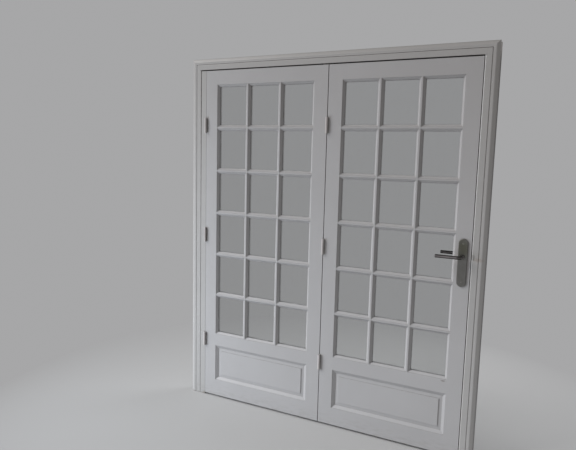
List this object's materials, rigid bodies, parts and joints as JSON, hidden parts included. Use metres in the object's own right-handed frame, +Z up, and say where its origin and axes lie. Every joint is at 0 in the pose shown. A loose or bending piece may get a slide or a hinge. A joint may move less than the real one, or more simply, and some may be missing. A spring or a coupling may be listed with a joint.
{
  "type": "french doors",
  "caption": "Pair of white painted glazed doors in a wooden frame: one leaf is hung on the frame, the other folds on it and latches with a lever.",
  "frame": {"origin": "on the floor, midway between the jambs, in the middle of the leaves' thickness", "axes": "+Z up; +X to the right as seen from the side the leaves open toward; -Y toward that side"},
  "size_m": [1.773, 0.156, 2.119],
  "materials": {
    "painted_frame_wood": "satin off-white paint",
    "painted_leaf_wood": "satin off-white paint",
    "painted_steel": "satin off-white paint over steel",
    "pin_steel": "greased steel",
    "plain_steel": "zinc plated",
    "screw_steel": "plain",
    "handle_metal": "aged satin nickel",
    "glass": "clear"
  },
  "bodies": {
    "frame": {"left_jamb": "painted_frame_wood", "right_jamb": "painted_frame_wood", "head_jamb": "painted_frame_wood", "hinge_packing_strip": "painted_frame_wood", "front_left_architrave": "painted_frame_wood", "front_right_architrave": "painted_frame_wood", "front_head_architrave": "painted_frame_wood", "rear_architraves": "painted_frame_wood", "door_stops": "painted_frame_wood", "strike_plate": "painted_steel", "head_bolt_keep": "plain_steel", "frame_hinge_pins": "pin_steel", "frame_screws": "screw_steel", "bottom_frame_hinge_strip_half": "painted_steel", "middle_frame_hinge_strip_half": "painted_steel", "top_frame_hinge_strip_half": "painted_steel"},
    "left_leaf": {"left_leaf_top_rail": "painted_leaf_wood", "left_leaf_lock_rail": "painted_leaf_wood", "left_leaf_bottom_rail": "painted_leaf_wood", "left_leaf_vertical_bars": "painted_leaf_wood", "left_leaf_horizontal_bars": "painted_leaf_wood", "left_leaf_panes": "glass", "left_leaf_glazing_beads": "painted_leaf_wood", "left_leaf_fielded_panel": "painted_leaf_wood", "left_leaf_meeting_stile": "painted_leaf_wood", "left_leaf_hinge_stile": "painted_leaf_wood", "left_leaf_screws": "screw_steel", "flush_bolt_plates": "plain_steel", "fold_hinge_pins": "pin_steel", "bottom_frame_hinge_leaf_half": "painted_steel", "middle_frame_hinge_leaf_half": "painted_steel", "top_frame_hinge_leaf_half": "painted_steel", "bottom_fold_hinge_left_half": "painted_steel", "middle_fold_hinge_left_half": "painted_steel", "top_fold_hinge_left_half": "painted_steel"},
    "right_leaf": {"right_leaf_top_rail": "painted_leaf_wood", "right_leaf_lock_rail": "painted_leaf_wood", "right_leaf_bottom_rail": "painted_leaf_wood", "right_leaf_vertical_bars": "painted_leaf_wood", "right_leaf_horizontal_bars": "painted_leaf_wood", "right_leaf_panes": "glass", "right_leaf_glazing_beads": "painted_leaf_wood", "right_leaf_fielded_panel": "painted_leaf_wood", "right_leaf_meeting_stile": "painted_leaf_wood", "right_leaf_lock_stile": "painted_leaf_wood", "right_leaf_screws": "screw_steel", "lock_case": "plain_steel", "lock_faceplate": "plain_steel", "front_handle_plate": "handle_metal", "rear_handle_plate": "handle_metal", "bottom_fold_hinge_right_half": "painted_steel", "middle_fold_hinge_right_half": "painted_steel", "top_fold_hinge_right_half": "painted_steel"},
    "lever_set": {"front_lever": "handle_metal", "rear_lever": "handle_metal", "spindle": "plain_steel", "follower": "plain_steel"},
    "latch": {"latch_bolt": "plain_steel"},
    "top_bolt": {"top_flush_bolt": "plain_steel"},
    "bottom_bolt": {"bottom_flush_bolt": "plain_steel"}
  },
  "joints": [
    {"name": "left_leaf_swing", "type": "hinge", "parent": "frame", "child": "left_leaf", "pos_m": [-0.782, -0.026, 1.05], "axis": [0, 0, -1], "range_deg": [0, 90]},
    {"name": "right_leaf_fold", "type": "hinge", "parent": "left_leaf", "child": "right_leaf", "pos_m": [0.018, -0.026, 1.05], "axis": [0, 0, -1], "range_deg": [0, 165]},
    {"name": "lever_turn", "type": "hinge", "parent": "right_leaf", "child": "lever_set", "pos_m": [0.7775, 0, 1.073], "axis": [0, -1, 0], "range_deg": [0, 45], "stiffness_Nm_per_rad": 1.2, "springref_deg": -20.05},
    {"name": "latch_slide", "type": "slide", "parent": "right_leaf", "child": "latch", "axis": [-1, 0, 0], "range_m": [0, 0.0115]},
    {"name": "top_bolt_slide", "type": "slide", "parent": "left_leaf", "child": "top_bolt", "axis": [0, 0, -1], "range_m": [0, 0.014]},
    {"name": "bottom_bolt_slide", "type": "slide", "parent": "left_leaf", "child": "bottom_bolt", "axis": [0, 0, -1], "range_m": [0, 0.014]}
  ],
  "couplings": [
    {"joint": "latch_slide", "follows": "lever_turn", "m_per_rad": 0.0146}
  ]
}
